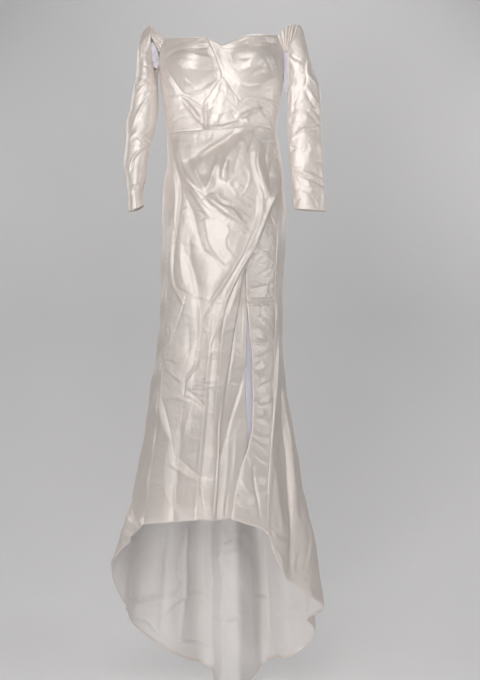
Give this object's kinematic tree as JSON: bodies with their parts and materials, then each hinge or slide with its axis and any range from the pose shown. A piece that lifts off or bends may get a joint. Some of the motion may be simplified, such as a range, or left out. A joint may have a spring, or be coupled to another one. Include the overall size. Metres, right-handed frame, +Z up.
{
  "type": "wedding dress",
  "caption": "Off-the-shoulder trumpet wedding dress with padded cups, long sleeves, a draped wrap front with a slit and a long train, held hanging by its sleeve heads.",
  "frame": {"origin": "midway between the tops of the two sleeve heads, where the dress is held up", "axes": "+X towards the right of the picture, +Y from the front of the dress to its back, +Z up"},
  "size_m": [0.6138, 0.408, 1.9574],
  "materials": {
    "satin": "ivory satin face with a soft sheen, over a matte white lining",
    "ruched_satin": "ivory satin gathered on elastic"
  },
  "bodies": {
    "root": {"cup_left": "satin", "cup_right": "satin", "midriff_front": "satin", "bodice_back_left": "satin", "bodice_back_right": "satin", "strap_left": "ruched_satin", "strap_right": "ruched_satin", "sleeve_left": "satin", "sleeve_right": "satin", "skirt_overlay": "satin", "skirt_underlap": "satin", "skirt_front_right": "satin", "skirt_back_left": "satin", "skirt_back_right": "satin"}
  },
  "joints": []
}
